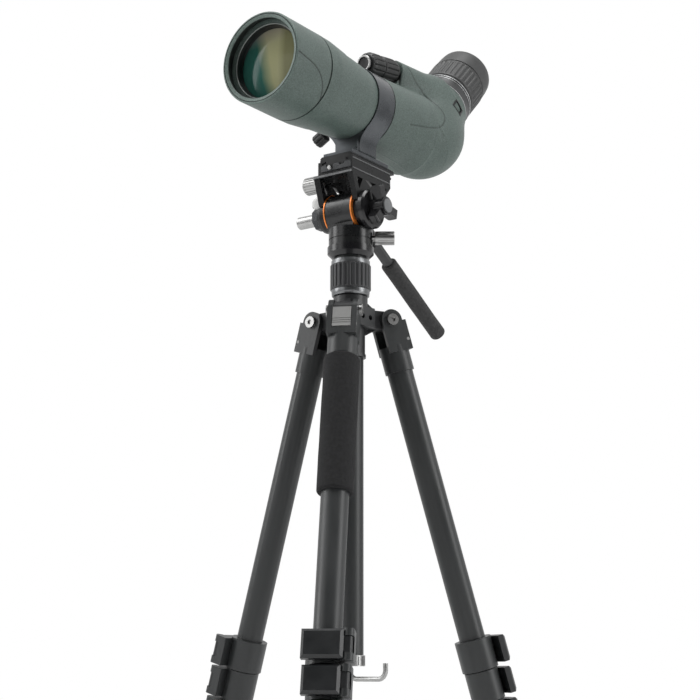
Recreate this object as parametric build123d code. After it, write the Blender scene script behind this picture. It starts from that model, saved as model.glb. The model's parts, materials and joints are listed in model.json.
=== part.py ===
"""An angled field telescope on a two-way head and a compact tripod.

Millimetres, +Z up.  The origin is on the ground under the tripod's vertical axis, and the
telescope's objective points along -Y.  Each node is written to parts/NODE.step.
"""
from build123d import *
from math import cos, sin, radians
import os

# ---- tripod -------------------------------------------------------------------------------
LEG_ANGLE = 16.18          # lean of a leg from the vertical
HINGE_RADIUS = 37.4        # leg hinge from the vertical axis
FOOT_CENTRE = 428.0        # ball foot's centre, measured down the leg from its hinge
FOOT_BALL = 13.8
FOOT_TREAD = 13.0          # flat of the ball foot, below the ball's centre
HINGE_Z = FOOT_CENTRE * cos(radians(LEG_ANGLE)) + FOOT_TREAD
LEG_AZIMUTHS = (26.6, -93.4, 146.6)
CENTRE_AZIMUTH = 86.6      # middle of the gap between the first and the third leg
TUBE_RADII = (12.5, 11.2, 9.9, 8.6)
TUBE_WALL = 1.0
LOCK_TOPS = (313.0, 343.0, 372.5)
LOCK_ENDS = (342.0, 371.5, 400.5)
LOCK_RADII = (17.5, 16.0, 14.5)
YOKE_GAP = 9.15            # half the space between a yoke's cheeks
YOKE_HALF = 14.0
LUG_HALF = 8.9
BOLT_RADIUS = 4.0
FIT = 0.05                 # radial clearance of a running fit
FREE = 0.3                 # gap between parts that pass each other
COLUMN_RADIUS = 12.5
COLUMN_BOTTOM = -316.0
HOOK_WIRE = 2.25
PORT_RADIUS = 2.55         # tapping size of a 1/4-20 thread
PORT_DEPTH = 6.0
PORT_FACE = 20.0
PORT_SPACING = 11.2

# ---- head, heights above the hinge plane ----------------------------------------------------
TILT_HEIGHT = 106.4
BARREL_RADIUS = 20.0
RING_RADIUS = 20.7
BARREL_LEFT = -17.2
BARREL_RIGHT = 13.2
ACCENT_WIDTH = 1.2
AXLE_RADIUS = 5.0
PAN_FLOOR = 71.3
PAN_TOP = 88.8
PAN_RADIUS = 21.3
CLAMP_FRONT = -27.0
CLAMP_REAR = 39.0
CLAMP_HALF = 20.5
PLATFORM_Z = 138.0
CLAMP_FLOOR = 150.2
JAW_TOP = 154.3
KNOB_Y = 6.0
KNOB_HEIGHT = 143.5
HANDLE_START = (0.0, 40.0, 85.6)
HANDLE_DROP = 30.8         # handle's slope below the horizontal
HANDLE_LENGTH = 139.0

# ---- telescope ------------------------------------------------------------------------------
AXIS_HEIGHT = 218.6        # optical axis above the hinge plane
COLLAR_FRONT = 5.1
COLLAR_REAR = -22.2
COLLAR_BORE = 35.05
COLLAR_RADIUS = 37.8
HOOD_FRONT = 144.3
HOOD_REAR = 91.3
HOOD_RADIUS = 44.0
FOCUS_HEIGHT = 51.6        # front face of the focus wheels, above the optical axis
FOCUS_FRONT = -22.4
FOCUS_RISE = 8.6           # the wheels' axis climbs to the rear by this angle
WHEEL_RADIUS = 12.5
FINE_REAR = -24.0
COARSE_REAR = -51.0
EYE_ANGLE = 45.25
EYE_CROSSING = -115.75     # where the eyepiece axis meets the optical axis
LENS_CURVE = 210.4
HOUSING_WALL = 3.0
BULB_AT = (0, 2.2, -131.6) # centre of the housing's ellipsoidal bulb
BULB_RADIUS = 40.5
BULB_HALF = 56.7
BULB_LEAN = 27.5
SLEEVE_RADII = (38.1, 41.8)
HUMP_RADII = (12.8, 21.3)  # fairing behind the focus wheels, front and rear
HUMP_LENGTH = 60.0
PORT_PLANE = 64.4          # the housing ends here along the eyepiece axis
PORT_RADIUS_OUT = 33.4
BUTTON_ALONG = 49.5        # release button's centre along the eyepiece axis
BUTTON_DROP = -2.0

TRIPOD = Pos(0, 0, HINGE_Z)
SCOPE = Pos(0, 0, HINGE_Z + AXIS_HEIGHT) * Rot(90, 0, 0)
EYEPIECE = SCOPE * Pos(0, 0, EYE_CROSSING) * Rot(EYE_ANGLE - 180, 0, 0)
FOCUS = SCOPE * Pos(0, FOCUS_HEIGHT, FOCUS_FRONT) * Rot(FOCUS_RISE, 0, 0)
TILT = TRIPOD * Pos(0, 0, TILT_HEIGHT) * Rot(0, 90, 0)

nodes = {}


def turned(*profile):
    """A solid of revolution about Z from (radius, height) corners."""
    outline = Plane.XZ * Polyline(*profile, close=True)
    return revolve(make_face(outline), Axis.Z)


def tube(outer, inner, low, high):
    return turned((inner, low), (outer, low), (outer, high), (inner, high))


def rod(radius, low, high):
    return turned((0, low), (radius, low), (radius, high), (0, high))


def block(x, y, z):
    """A box between two limits on each axis."""
    size = (x[1] - x[0], y[1] - y[0], z[1] - z[0])
    middle = ((x[0] + x[1]) / 2, (y[0] + y[1]) / 2, (z[0] + z[1]) / 2)
    return Pos(*middle) * Box(*size)


def cross_rod(radius, low, high, y=0, z=0):
    """A rod along X."""
    return Pos(0, y, z) * Rot(0, 90, 0) * rod(radius, low, high)


def plate_yz(points, low, high):
    """A plate with a (y, z) outline that fills x from low to high."""
    outline = Plane.YZ * Polyline(*points, close=True)
    return Pos(low, 0, 0) * extrude(make_face(outline), high - low, dir=(1, 0, 0))


def ribs(count, radius, width, low, high):
    """Shallow grooves round a knob, as one cutting shape."""
    groove = block((radius - 0.7, radius + 1), (-width / 2, width / 2), (low, high))
    return [Rot(0, 0, 360 * turn / count) * groove for turn in range(count)]


# ---- tripod pieces --------------------------------------------------------------------------
def leg_frame(azimuth):
    """Hinge at the origin, tube down -Z, outward -Y, hinge axis +X."""
    return TRIPOD * Rot(0, 0, azimuth) * Pos(0, -HINGE_RADIUS, 0) * Rot(-LEG_ANGLE, 0, 0)


def lever_pin(index):
    collar = LOCK_RADII[index]
    return collar + 3.5, -(collar + 1.0)


def lock_collar(index):
    """The clamp at the bottom of a tube, with the two ears of its lever hinge."""
    collar = LOCK_RADII[index]
    top = -LOCK_TOPS[index]
    bottom = -LOCK_ENDS[index]
    middle = (top + bottom) / 2
    pin_x, pin_y = lever_pin(index)
    body = rod(collar, bottom, top)
    lug = block((collar - 8, collar + 8.2), (-(collar + 0.2), -(collar - 10)), (bottom + 1, top - 1))
    lug += Pos(pin_x, pin_y, 0) * rod(4.7, bottom + 1, top - 1)
    lug -= Pos(pin_x, pin_y, 0) * rod(5.2, middle - 7.1, middle + 7.1)
    pin = Pos(pin_x, pin_y, 0) * rod(1.5, bottom + 1, top - 1)
    return body + lug + pin


def lock_lever(index):
    """A flip lever that lies across the outer face of its clamp."""
    collar = LOCK_RADII[index]
    top = -LOCK_TOPS[index] - 2
    bottom = -LOCK_ENDS[index] + 2
    middle = (top + bottom) / 2
    pin_x, pin_y = lever_pin(index)
    arm = block((-(collar + 0.5), collar + 0.2), (-(collar + 8.5), -(collar + 0.6)), (bottom, top))
    arm = chamfer(arm.edges().group_by(Axis.Y)[0], 2.6)
    for low, high in ((bottom - 1, middle - 6.8), (middle + 6.8, top + 1)):
        arm -= Pos(pin_x, pin_y, 0) * rod(6.2, low, high)
    knuckle = Pos(pin_x, pin_y, 0) * rod(3.8, middle - 6.8, middle + 6.8)
    neck = block((collar - 1, pin_x), (pin_y - 3.8, -(collar + 0.6)), (middle - 6.8, middle + 6.8))
    return arm + knuckle + neck - Pos(pin_x, pin_y, 0) * rod(1.5 + FIT, bottom, top)


def leg_section(index, top, end):
    """One telescoping tube, its clamp at the bottom and the bush that guides the next tube."""
    outer = TUBE_RADII[index]
    next_tube = TUBE_RADII[index + 1]
    body = rod(outer, -end, -top) + lock_collar(index)
    body -= rod(outer - TUBE_WALL, -(end - 12), -top + 1)
    return body - rod(next_tube + FIT, -end - 1, -(end - 13))


def leg_upper():
    tube_part = leg_section(0, 33, LOCK_ENDS[0])
    casting = rod(14.2, -50, -24.5)
    cheeks = cross_rod(10.5, -YOKE_HALF, YOKE_HALF)
    cheeks += block((-YOKE_HALF, YOKE_HALF), (-10.5, 10.5), (-31, 0))
    cheeks += block((-YOKE_HALF, YOKE_HALF), (-14, -9), (-31, -2))
    cheeks -= block((-YOKE_GAP, YOKE_GAP), (-20, 20), (-24.5, 20))
    casting -= rod(TUBE_RADII[0] - TUBE_WALL, -60, -33)
    yoke = casting + cheeks
    yoke -= cross_rod(BOLT_RADIUS + FIT, -20, 20)
    yoke -= cross_rod(1.5 + FIT, -20, 20, -11.6, -21.0)
    return yoke + tube_part


def leg_catch():
    """The spring-loaded angle catch between a yoke's cheeks, on its own pin."""
    pad = block((-8.7, 8.7), (-14.0, -9.6), (-23.6, -3.6))
    for height in (-20.4, -18.2, -16.0):
        pad -= block((-9, 9), (-14.1, -13.5), (height, height + 0.8))
    return pad + cross_rod(1.5, -YOKE_HALF, YOKE_HALF, -11.6, -21.0)


def leg_end():
    """The thinnest tube with its rubber ball foot."""
    outer = TUBE_RADII[3]
    shank = rod(outer, -405, -76) - rod(outer - TUBE_WALL, -400, -75)
    foot = turned((0, -FOOT_CENTRE), (13, -FOOT_CENTRE), (12, -415), (10.5, -408), (10.5, -401.5), (0, -401.5))
    tread = Rot(LEG_ANGLE, 0, 0) * block((-20, 20), (-20, 20), (-30, -FOOT_TREAD))
    return shank + foot + Pos(0, 0, -FOOT_CENTRE) * (Sphere(FOOT_BALL) - tread)


def legs():
    for number, azimuth in enumerate(LEG_AZIMUTHS, start=1):
        place = leg_frame(azimuth)
        name = f"leg{number}_"
        nodes[name + "upper"] = place * leg_upper()
        nodes[name + "catch"] = place * leg_catch()
        nodes[name + "middle"] = place * leg_section(1, 60, LOCK_ENDS[1])
        nodes[name + "lower"] = place * leg_section(2, 68, LOCK_ENDS[2])
        nodes[name + "end"] = place * leg_end()
        for index in range(3):
            nodes[f"{name}lever_{index + 1}"] = place * lock_lever(index)
    grip = tube(16.8, TUBE_RADII[0] + FREE, -185, -50.8)
    nodes["leg_foam_grip"] = leg_frame(LEG_AZIMUTHS[0]) * grip


def spider():
    """The hub that the legs hinge on, with its column sleeve and accessory ports."""
    hub = rod(16.5, -9, 21) + rod(14.0, -38, 0) + rod(14.4, 0, 50) + rod(14.8, -38, -35)
    for azimuth in LEG_AZIMUTHS:
        lug = block((-LUG_HALF, LUG_HALF), (-HINGE_RADIUS, -10), (-8.8, 8.8))
        lug += cross_rod(8.8, -LUG_HALF, LUG_HALF, -HINGE_RADIUS)
        lug -= cross_rod(BOLT_RADIUS, -20, 20, -HINGE_RADIUS)
        web = plate_yz([(-27, -8), (-27, 8), (-13, 20), (-13, -16)], -2.5, 2.5)
        hub += Rot(0, 0, azimuth) * (lug + web)
    for azimuth in (CENTRE_AZIMUTH, CENTRE_AZIMUTH + 120, CENTRE_AZIMUTH - 120):
        hub += Rot(0, 0, azimuth) * block((-12.5, 12.5), (-PORT_FACE, 0), (-9, 10))
    hub -= rod(COLUMN_RADIUS + FIT, -60, 60)
    for side in (-0.5, 0.5):
        port = Rot(90, 0, 0) * rod(PORT_RADIUS, PORT_FACE - PORT_DEPTH, PORT_FACE + 1)
        port = Rot(0, 0, CENTRE_AZIMUTH) * Pos(side * PORT_SPACING, 0, 0) * port
        hub -= port
    return TRIPOD * hub


def hinge_bolts():
    bolt = cross_rod(BOLT_RADIUS, -14.15, 14.15)
    for side in (-1, 1):
        head = rod(5.6, 14.15, 17.0) - Pos(0, 0, 15.4) * extrude(RegularPolygon(2.6, 6), 3)
        bolt += Rot(0, 90 * side, 0) * head
    return [TRIPOD * Rot(0, 0, azimuth) * Pos(0, -HINGE_RADIUS, 0) * bolt for azimuth in LEG_AZIMUTHS]


def column():
    shaft = rod(COLUMN_RADIUS, COLUMN_BOTTOM, 58.3) - rod(COLUMN_RADIUS - 1.5, COLUMN_BOTTOM - 1, 50)
    return TRIPOD * (shaft + rod(15.5, 58.3, 60.5))


def twist_lock_ring():
    ring = turned((14.7, 22), (17.5, 22), (19.2, 26), (19.7, 29), (19.7, 53), (18.8, 57.8), (14.7, 57.8))
    for groove in ribs(24, 19.7, 1.6, 30.5, 51.5):
        ring -= groove
    return TRIPOD * (ring + tube(15.5, COLUMN_RADIUS + FREE, 51, 57.8))


def ballast_hook():
    """The ribbed end nut, its spigot in the column and the bent wire hook."""
    nut = rod(14.0, -326, COLUMN_BOTTOM - 0.3) + rod(10.9, -320, -300)
    for groove in ribs(20, 14.0, 1.4, -325, -317.5):
        nut -= groove
    route = FilletPolyline((0, 0, -324), (0, 0, -337.5), (0, -41, -337.5), (0, -41, -323.5), radius=8)
    wire = sweep(Plane(origin=(0, 0, -324), z_dir=(0, 0, -1)) * Circle(HOOK_WIRE), path=route)
    return TRIPOD * Rot(0, 0, CENTRE_AZIMUTH) * (nut + wire)


# ---- head pieces ----------------------------------------------------------------------------
def pan_base():
    return TRIPOD * turned((0, 60.6), (18.5, 60.6), (22.5, 64.5), (22.5, 71), (8, 71), (8, 80), (0, 80))


def head_body():
    """The panning body, the fixed tilt barrel on top of it and the handle's socket."""
    body = rod(PAN_RADIUS, PAN_FLOOR, PAN_TOP) - tube(30, PAN_RADIUS - 0.8, 77.6, 78.6)
    body += block((BARREL_LEFT, BARREL_RIGHT), (-15, 15), (PAN_TOP - 2, 100))
    body += cross_rod(BARREL_RADIUS, BARREL_LEFT, BARREL_RIGHT, 0, TILT_HEIGHT)
    socket = Pos(*HANDLE_START) * Rot(-90 - HANDLE_DROP, 0, 0) * rod(7.5, -24, 0)
    body += socket - block((-20, 20), (-60, 18), (60, 120))
    body -= cross_rod(AXLE_RADIUS + 0.02, -40, 40, 0, TILT_HEIGHT)
    body -= rod(8 + FIT, 60, 80.3)
    return TRIPOD * (body - pan_lock_axis() * rod(3.0, 9, 30))


def pan_lock_axis():
    return Rot(0, 0, 35.3) * Pos(0, 0, 81.2) * Rot(0, 90, 0)


def pan_lock_knob():
    knob = rod(3.0 - FIT, 9, 24) + rod(6.7, 24, 42.5)
    for groove in ribs(12, 6.7, 1.4, 27, 43):
        knob -= groove
    return TRIPOD * pan_lock_axis() * knob


def handle_axis():
    return TRIPOD * Pos(*HANDLE_START) * Rot(-90 - HANDLE_DROP, 0, 0)


def handle_rod():
    bar = extrude(RegularPolygon(5.6, 8, rotation=22.5), HANDLE_LENGTH - 12)
    return handle_axis() * bar


def handle_grip():
    """A closed foam sleeve with a rounded end."""
    outline = [(0, HANDLE_LENGTH), (5, HANDLE_LENGTH - 0.6), (7.6, HANDLE_LENGTH - 3.5)]
    outline += [(8.3, HANDLE_LENGTH - 8), (8.3, 29.5), (5.9, 29.5), (5.9, HANDLE_LENGTH - 11.7)]
    return handle_axis() * turned(*outline, (0, HANDLE_LENGTH - 11.7))


def accent_rings():
    left = tube(RING_RADIUS, AXLE_RADIUS + 3, BARREL_LEFT - ACCENT_WIDTH, BARREL_LEFT)
    right = tube(RING_RADIUS, AXLE_RADIUS + 3, BARREL_RIGHT, BARREL_RIGHT + ACCENT_WIDTH)
    pan_space = TRIPOD * rod(PAN_RADIUS + 1, 60, PAN_TOP + 0.1)
    return [TILT * left - pan_space, TILT * right - pan_space]


def tilt_axle():
    """The through axle with its end cap and stub on one side and the friction drum on the other."""
    cap = turned((0, -33), (12, -33), (15.5, -30), (15.5, -25.9), (0, -25.9))
    flange = Pos(0, 0, -39) * extrude(RegularPolygon(11.8, 8, rotation=22.5), 6)
    stub = turned((0, -62), (5.7, -62), (6.3, -61.4), (6.3, -39), (0, -39))
    end = rod(AXLE_RADIUS, -26, 27.7) + rod(3.9, 27.7, 40)
    drum = turned((AXLE_RADIUS, 21.6), (19.6, 21.6), (19.6, 25.7), (18, 27.7), (AXLE_RADIUS, 27.7))
    return [TILT * (cap + flange + stub + end), TILT * drum]


def tilt_lock_knob():
    """The three-winged knob on the threaded end of the axle."""
    knob = rod(9.0, 28, 43) + rod(6.8, 43, 44.4)
    wing = block((0, 21.5), (-4.2, 4.2), (31, 41.5))
    wing = fillet(wing.edges().filter_by(Axis.Y), 2.5)
    for turn in (80, 200, 320):
        knob += Rot(0, 0, turn) * wing
    return TILT * (knob - rod(3.9 + FIT, 27, 40.3))


def cheek(low, high):
    """One side of the tilting cradle, pierced by three triangular openings."""
    side = plate_yz([(-26, 138), (39, 138), (17.5, 113), (-17.5, 113)], low, high)
    side += cross_rod(17.2, low, high, 0, TILT_HEIGHT)
    for corners in (
        [(-20, 135.5), (-9, 135.5), (-14.5, 124)],
        [(-4.5, 135.5), (16, 135.5), (5, 129.8)],
        [(20.5, 135.5), (33, 135.5), (18.5, 121)],
    ):
        side -= plate_yz(corners, low - 1, high + 1)
    return side


def tilt_cradle():
    """The tilting cradle with the clamp's bed and its fixed jaw."""
    body = cheek(-25.5, -18.8) + cheek(14.8, 20.6)
    body += block((-25.5, 20.6), (CLAMP_FRONT, CLAMP_REAR), (PLATFORM_Z, 141))
    body += block((-15.7, CLAMP_HALF), (CLAMP_FRONT, CLAMP_REAR), (141, CLAMP_FLOOR))
    body += block((16, CLAMP_HALF), (CLAMP_FRONT, CLAMP_REAR), (CLAMP_FLOOR, JAW_TOP))
    body += block((12.6, 16), (CLAMP_FRONT, CLAMP_REAR), (153.1, JAW_TOP))
    body += Pos(-30, 0, 118.0) * Rot(90, 0, 0) * rod(6.6, 0, 14)
    body += block((-32, -22), (-12, 0), (113, 123))
    body -= Pos(-30, 0, 118.0) * Rot(90, 0, 0) * tube(5.4, 4.6, 13, 15)
    body -= cross_rod(AXLE_RADIUS + FIT, -40, 40, 0, TILT_HEIGHT)
    body -= cross_rod(15.5 + FREE, -40, -25.6, 0, TILT_HEIGHT)
    body -= cross_rod(3.0 + FIT, -40, -4, KNOB_Y, KNOB_HEIGHT + 2)
    return TRIPOD * body


def clamp_jaw():
    jaw = block((-20.5, -16.0), (CLAMP_FRONT + 1, CLAMP_REAR - 1), (141.2, JAW_TOP))
    jaw += block((-16.0, -12.6), (CLAMP_FRONT + 1, CLAMP_REAR - 1), (153.1, JAW_TOP))
    return TRIPOD * (jaw - cross_rod(3.0 + FIT, -40, 0, KNOB_Y, KNOB_HEIGHT + 2))


def clamp_knob():
    knob = turned((0, -58), (8, -58), (8.9, -57), (8.9, -42), (7.6, -40.5), (7.6, -34), (5, -33), (5, -26.6),
                  (3, -26.6), (3, -5), (0, -5))
    for groove in ribs(20, 8.9, 1.0, -56, -43):
        knob -= groove
    return TRIPOD * Pos(0, KNOB_Y, KNOB_HEIGHT + 2) * Rot(0, 90, 0) * knob


# ---- telescope pieces, s runs forward along the optical axis ---------------------------------
def tripod_collar():
    """The rotating collar and the neck and foot that stand it on the plate."""
    sole = 160.0 - AXIS_HEIGHT
    ring = rod(COLLAR_RADIUS, COLLAR_REAR, COLLAR_FRONT)
    neck = block((-13.3, 13.3), (sole, -30), (COLLAR_REAR, COLLAR_FRONT))
    neck += block((-13.3, 13.3), (sole, -41), (COLLAR_REAR - 2, COLLAR_FRONT + 2.5))
    neck += block((-17, 17), (sole, sole + 3.6), (-40, 22))
    boss = Rot(0, 0, 209.5) * Rot(0, 90, 0) * rod(5.2, 36, 40.5)
    collar = ring + neck + Pos(0, 0, -8.5) * boss
    collar -= rod(COLLAR_BORE, -60, 30)
    screw_hole = Pos(0, 0, -8.5) * Rot(0, 0, 209.5) * Rot(0, 90, 0) * rod(2.5, 30, 50)
    for place in (14, -36):
        collar -= Pos(0, sole, place) * Rot(-90, 0, 0) * rod(3.0, -1, 5)
    return SCOPE * (collar - screw_hole)


def dovetail_plate():
    """The plate under the foot, with its two screws as separate solids."""
    plate = block((-19, 19), (-25, 48), (154.6, 159.9)) + block((-12.2, 12.2), (-25, 48), (152.9, 154.6))
    plate += block((-15.6, 15.6), (-25, 48), (150.5, 152.9))
    plate -= block((-20, -18.3), (-30, 50), (156.6, 157.6)) + block((18.3, 20), (-30, 50), (156.6, 157.6))
    screws = []
    for y in (-14, 36):
        plate -= Pos(0, y, 0) * (rod(5.0, 150, 155) + rod(3.0, 154, 161))
        screws.append(TRIPOD * Pos(0, y, 0) * (rod(4.9, 151.5, 155) + rod(2.9, 155, 164)))
    return [TRIPOD * plate, *screws]


def collar_lock_knob():
    knob = turned((0, 35.6), (2.45, 35.6), (2.45, 42.5), (6.2, 42.5), (7.0, 44), (7.0, 55), (6.0, 56), (0, 56))
    return SCOPE * Pos(0, 0, -8.5) * Rot(0, 0, 209.5) * Rot(0, 90, 0) * knob


def objective_barrel():
    outline = [(35, -34), (35, 5.3), (36.5, 5.5), (38.5, 22), (39, 29), (40.6, 52), (41.3, 52.6), (43.7, 75)]
    outline += [(44, 91), (40.4, 91), (40.4, 135), (36.6, 135), (36.6, 111.5), (33, 111.5), (33, 50), (31, 20)]
    return SCOPE * turned(*outline, (31, -34))


def lens_hood():
    outline = [(40.7, HOOD_REAR), (43.6, HOOD_REAR), (44, HOOD_REAR + 0.6), (44, 142.8), (43.2, HOOD_FRONT)]
    outline += [(40.2, HOOD_FRONT), (39.6, 143.6), (39.6, 140.6), (40.7, 139.5)]
    return SCOPE * turned(*outline)


def lens_retaining_ring():
    return SCOPE * turned((33.6, 127.3), (36.3, 127.3), (36.3, 134.5), (35.8, 134.5))


def objective_doublet():
    """A cemented pair: a crown lens in front and a flint behind."""
    crown = rod(35.4, 118, 131) & Pos(0, 0, 129.5 - 203.7) * Sphere(203.7)
    crown &= Pos(0, 0, 119.5 + LENS_CURVE) * Sphere(LENS_CURVE)
    flint = rod(35.4, 114, 122.1) - Pos(0, 0, 119.2 + LENS_CURVE) * Sphere(LENS_CURVE)
    return [SCOPE * crown, SCOPE * flint]


def focusing_cell():
    """The ring and lens that slide in the barrel to focus."""
    cell = turned((28, 60), (32.9, 60), (32.9, 74), (28, 74))
    lens = turned((0, 64), (28, 65.5), (28, 70), (0, 69))
    return SCOPE * (cell + lens)


def ellipsoid(radius, half_length):
    """An egg turned about Z."""
    half = Ellipse(radius, half_length) & Pos(radius, 0) * Rectangle(2 * radius, 3 * half_length)
    return revolve(Plane.XZ * half, Axis.Z)


def housing_shape(inset):
    """The prism housing's outer form, or its hollow when inset by the wall."""
    sleeve_front, sleeve_rear = (radius - inset for radius in SLEEVE_RADII)
    hump_front, hump_rear = (radius - inset for radius in HUMP_RADII)
    body = turned((0, -95), (sleeve_rear, -95), (sleeve_front, -23 - inset), (0, -23 - inset))
    body += Pos(*BULB_AT) * Rot(BULB_LEAN, 0, 0) * ellipsoid(BULB_RADIUS - inset, BULB_HALF - inset)
    hump = turned((0, -HUMP_LENGTH), (hump_rear, -HUMP_LENGTH), (hump_front, -inset), (0, -inset))
    return body + Pos(0, 59.7, -75) * Rot(-5.7, 0, 0) * hump


def eyepiece_port(radius, low, high):
    return Pos(0, 0, EYE_CROSSING) * Rot(EYE_ANGLE - 180, 0, 0) * rod(radius, low, high)


def prism_housing():
    """The armoured rear body, hollow, with the eyepiece port and the seat of the prism."""
    body = housing_shape(0) + eyepiece_port(PORT_RADIUS_OUT, 12, PORT_PLANE)
    body -= housing_shape(HOUSING_WALL)
    body -= eyepiece_port(PORT_RADIUS_OUT - 3, 5, 40) + eyepiece_port(40, PORT_PLANE, 75)
    body -= rod(35.0 + FIT, -34.5, 0) + rod(31, -60, 0) + eyepiece_port(26.05, 35, 70)
    seat = block((-15, 15), (-54, -22), (-132, -100)) - Pos(0, -60, -116) * Box(20, 60, 24)
    body += seat & housing_shape(1)
    hub = Pos(0, 0, EYE_CROSSING) * Rot(EYE_ANGLE - 180, 0, 0)
    body -= hub * Pos(33, BUTTON_DROP, BUTTON_ALONG) * Box(6.4, 14.2, 12.2)
    wheels = Pos(0, FOCUS_HEIGHT, FOCUS_FRONT) * Rot(FOCUS_RISE, 0, 0)
    body -= wheels * rod(WHEEL_RADIUS + 0.8, COARSE_REAR - 0.5, 5)
    return SCOPE * (body - wheels * rod(3.02, -70, -40))


def erecting_prism():
    outline = Polyline((-92, -21.8), (-92, 10), (-124, 34), (-152, 9), (-138, -21.8), close=True)
    return SCOPE * extrude(Rot(0, -90, 0) * make_face(outline), 15, both=True)


def wheel(low, high, front_taper):
    """One focus wheel, turned about the spindle."""
    body = turned((3.0 + FIT, low), (WHEEL_RADIUS - 0.8, low), (WHEEL_RADIUS, low + 0.8),
                  (WHEEL_RADIUS, high - front_taper), (WHEEL_RADIUS - 0.3 * front_taper, high), (3.0 + FIT, high))
    return FOCUS * body


def focus_spindle():
    spindle = rod(3.0, -62, -1.5) + rod(8.0, -2.2, 0.4) - tube(6.9, 5.7, 0, 1)
    return FOCUS * spindle


def eyepiece_barrel():
    outline = [(22, 47), (26, 47), (26, PORT_PLANE + 0.1), (32.5, PORT_PLANE + 0.1), (32.5, 67), (31.6, 70), (31.1, 87.7), (27, 87.7)]
    return EYEPIECE * turned(*outline, (27, 138), (22, 138))


def zoom_ring():
    ring = turned((27 + FIT, 88), (31.0, 88), (31.6, 90), (31.9, 119), (31.3, 120.9), (27 + FIT, 120.9))
    for groove in ribs(36, 31.9, 2.0, 92, 118):
        ring -= groove
    return EYEPIECE * ring


def eyecup():
    outline = [(27 + FIT, 121.4), (31.9, 121.4), (31.9, 123), (30.4, 146), (28.5, 147.5), (24.5, 147.5)]
    return EYEPIECE * turned(*outline, (22.5, 143), (22.5, 138.4), (27 + FIT, 138.4))


def eyepiece_lenses():
    eye = turned((0, 129), (21.9, 130.5), (21.9, 136.5), (0, 138))
    field = turned((0, 91.5), (21.9, 92.5), (21.9, 97), (0, 98.5))
    return [EYEPIECE * eye, EYEPIECE * field]


def zoom_lens_cell():
    cell = tube(21.9, 17, 107, 117) + turned((0, 110), (17, 111), (17, 114), (0, 115))
    return EYEPIECE * cell


def release_button():
    """The button's face follows the round of the port."""
    face = Pos(32.3, BUTTON_DROP, BUTTON_ALONG) * Box(2.0, 13.8, 11.8)
    return EYEPIECE * (face & rod(PORT_RADIUS_OUT - 0.2, 30, 60))


def build():
    legs()
    simple = (
        spider, hinge_bolts, twist_lock_ring, ballast_hook, pan_base, head_body, pan_lock_knob,
        handle_rod, handle_grip, accent_rings, tilt_axle, tilt_lock_knob, tilt_cradle, clamp_jaw,
        clamp_knob, tripod_collar, dovetail_plate, collar_lock_knob, objective_barrel, lens_hood,
        lens_retaining_ring, objective_doublet, focusing_cell, prism_housing, erecting_prism,
        focus_spindle, eyepiece_barrel, zoom_ring, eyecup, eyepiece_lenses, zoom_lens_cell, release_button,
    )
    for make in simple:
        nodes[make.__name__] = make()
    nodes["center_column"] = column()
    nodes["fine_focus_wheel"] = wheel(FINE_REAR, -2.6, 4.0)
    nodes["coarse_focus_wheel"] = wheel(COARSE_REAR, FINE_REAR - 0.4, 0.8)


build()
os.makedirs("parts", exist_ok=True)
for node_name, shape in nodes.items():
    solid = Compound(children=shape) if isinstance(shape, list) else shape
    export_step(solid, f"parts/{node_name}.step")
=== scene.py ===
"""Looks for the field telescope, its head and its tripod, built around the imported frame."""
import json
from math import cos, pi, radians, sin, sqrt

import bpy
import bmesh
import numpy as np
from mathutils import Matrix, Vector


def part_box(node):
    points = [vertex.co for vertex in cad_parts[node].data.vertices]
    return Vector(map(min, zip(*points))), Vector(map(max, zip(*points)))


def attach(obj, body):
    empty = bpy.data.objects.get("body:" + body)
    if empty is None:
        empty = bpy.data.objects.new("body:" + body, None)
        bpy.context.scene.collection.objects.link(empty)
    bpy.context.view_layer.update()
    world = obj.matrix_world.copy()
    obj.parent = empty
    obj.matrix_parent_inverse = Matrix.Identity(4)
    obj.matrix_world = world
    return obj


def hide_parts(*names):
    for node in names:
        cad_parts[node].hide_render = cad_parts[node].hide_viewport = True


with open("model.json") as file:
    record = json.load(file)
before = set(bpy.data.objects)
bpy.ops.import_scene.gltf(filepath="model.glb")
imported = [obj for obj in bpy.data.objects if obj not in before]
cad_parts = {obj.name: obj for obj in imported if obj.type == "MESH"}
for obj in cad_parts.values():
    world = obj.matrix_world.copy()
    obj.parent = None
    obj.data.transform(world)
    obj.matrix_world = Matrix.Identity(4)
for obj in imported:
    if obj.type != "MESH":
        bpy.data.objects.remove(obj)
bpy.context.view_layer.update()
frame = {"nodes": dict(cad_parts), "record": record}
NODES = frame["nodes"]
MM = 0.001

# ---- shared frames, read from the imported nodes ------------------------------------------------
hood_low, hood_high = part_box("lens_hood")
AXIS_Z = (hood_low[2] + hood_high[2]) / 2
AXIS_X = (hood_low[0] + hood_high[0]) / 2
AXIS_HEIGHT = 218.6   # millimetres from the leg hinges up to the optical axis
HINGE_Z = AXIS_Z - AXIS_HEIGHT * MM
KNEE = 115.75         # millimetres back to where the eyepiece's axis leaves the optical axis
EYE_TILT = 45.25      # degrees between the two axes
WHEEL_BACK = 22.4     # start of the focus wheels' spindle, back from the scope's origin
WHEEL_UP = 51.6       # and up from the optical axis
WHEEL_RISE = 8.6      # degrees that the spindle rises towards the eyepiece
HINGE_REACH = 37.4    # millimetres from the column's axis out to a leg's hinge
LEG_LEAN = 16.18      # degrees from upright
LEG_AZIMUTHS = (26.6, -93.4, 146.6)


def spot(x, y, height):
    """A place in metres from millimetres and a height above the leg hinges."""
    return Vector((x * MM, y * MM, HINGE_Z + height * MM))


def turned_about_x(place, degrees):
    return Matrix.Translation(place) @ Matrix.Rotation(radians(degrees), 4, "X")


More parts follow.
